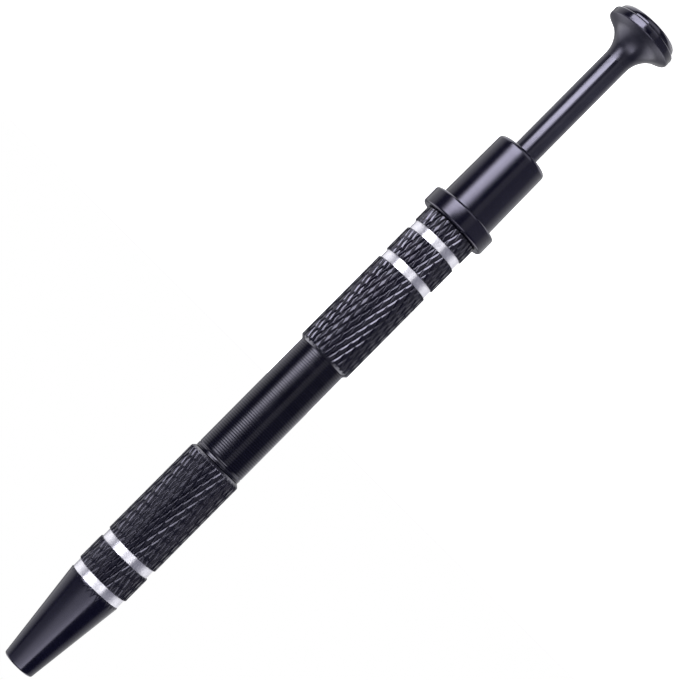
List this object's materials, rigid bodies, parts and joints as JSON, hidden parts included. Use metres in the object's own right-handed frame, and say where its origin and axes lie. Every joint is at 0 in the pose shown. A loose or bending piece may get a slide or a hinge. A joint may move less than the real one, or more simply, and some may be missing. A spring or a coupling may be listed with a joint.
{
  "type": "four-claw pickup tool",
  "caption": "Pen-like pickup tool with a knurled grip: pressing the sprung thumb button pushes spring wire claws out of the nose, where they spread to grip a small part.",
  "frame": {"origin": "centre of the thumb face, on the surface that the tool stands on", "axes": "+Z along the tool's centre line, from the button up to the nose. The tool is round, so +X and +Y have no special direction; the claws lie at 45 degrees between them."},
  "size_m": [0.0098, 0.0098, 0.1131],
  "materials": {
    "black_anodised": "black anodised, turned, with bright-cut rings",
    "zinc_steel": "turned",
    "spring_steel": "drawn wire",
    "brass": "turned"
  },
  "bodies": {
    "housing": {"front_sleeve": "black_anodised", "barrel": "black_anodised", "end_cap": "black_anodised", "return_spring": "spring_steel"},
    "washer": {"thrust_washer": "zinc_steel"},
    "plunger": {"push_rod": "black_anodised", "stop_collar": "zinc_steel", "claw_holder": "brass"},
    "claw_1": {"claw_1": "spring_steel"},
    "claw_2": {"claw_2": "spring_steel"},
    "claw_3": {"claw_3": "spring_steel"},
    "claw_4": {"claw_4": "spring_steel"}
  },
  "joints": [
    {"name": "button_slide", "type": "slide", "parent": "housing", "child": "washer", "axis": [0, 0, 1], "range_m": [0, 0.017], "stiffness_N_per_m": 270, "springref_m": -0.008, "deforming": ["return_spring"]},
    {"name": "rod_spin", "type": "hinge", "parent": "washer", "child": "plunger", "pos_m": [0, 0, 0.04529], "axis": [0, 0, 1], "continuous": true},
    {"name": "claw_1_spread", "type": "hinge", "parent": "plunger", "child": "claw_1", "pos_m": [0.00071, -0.00071, 0.0933], "axis": [0.7071, 0.7071, 0], "range_deg": [0, 10.2]},
    {"name": "claw_2_spread", "type": "hinge", "parent": "plunger", "child": "claw_2", "pos_m": [-0.00071, -0.00071, 0.0933], "axis": [0.7071, -0.7071, 0], "range_deg": [0, 10.2]},
    {"name": "claw_3_spread", "type": "hinge", "parent": "plunger", "child": "claw_3", "pos_m": [-0.00071, 0.00071, 0.0933], "axis": [-0.7071, -0.7071, 0], "range_deg": [0, 10.2]},
    {"name": "claw_4_spread", "type": "hinge", "parent": "plunger", "child": "claw_4", "pos_m": [0.00071, 0.00071, 0.0933], "axis": [-0.7071, 0.7071, 0], "range_deg": [0, 10.2]}
  ],
  "couplings": [
    {"joint": "claw_1_spread", "follows": "button_slide", "rad_per_m": 10.4},
    {"joint": "claw_2_spread", "follows": "button_slide", "rad_per_m": 10.4},
    {"joint": "claw_3_spread", "follows": "button_slide", "rad_per_m": 10.4},
    {"joint": "claw_4_spread", "follows": "button_slide", "rad_per_m": 10.4}
  ]
}
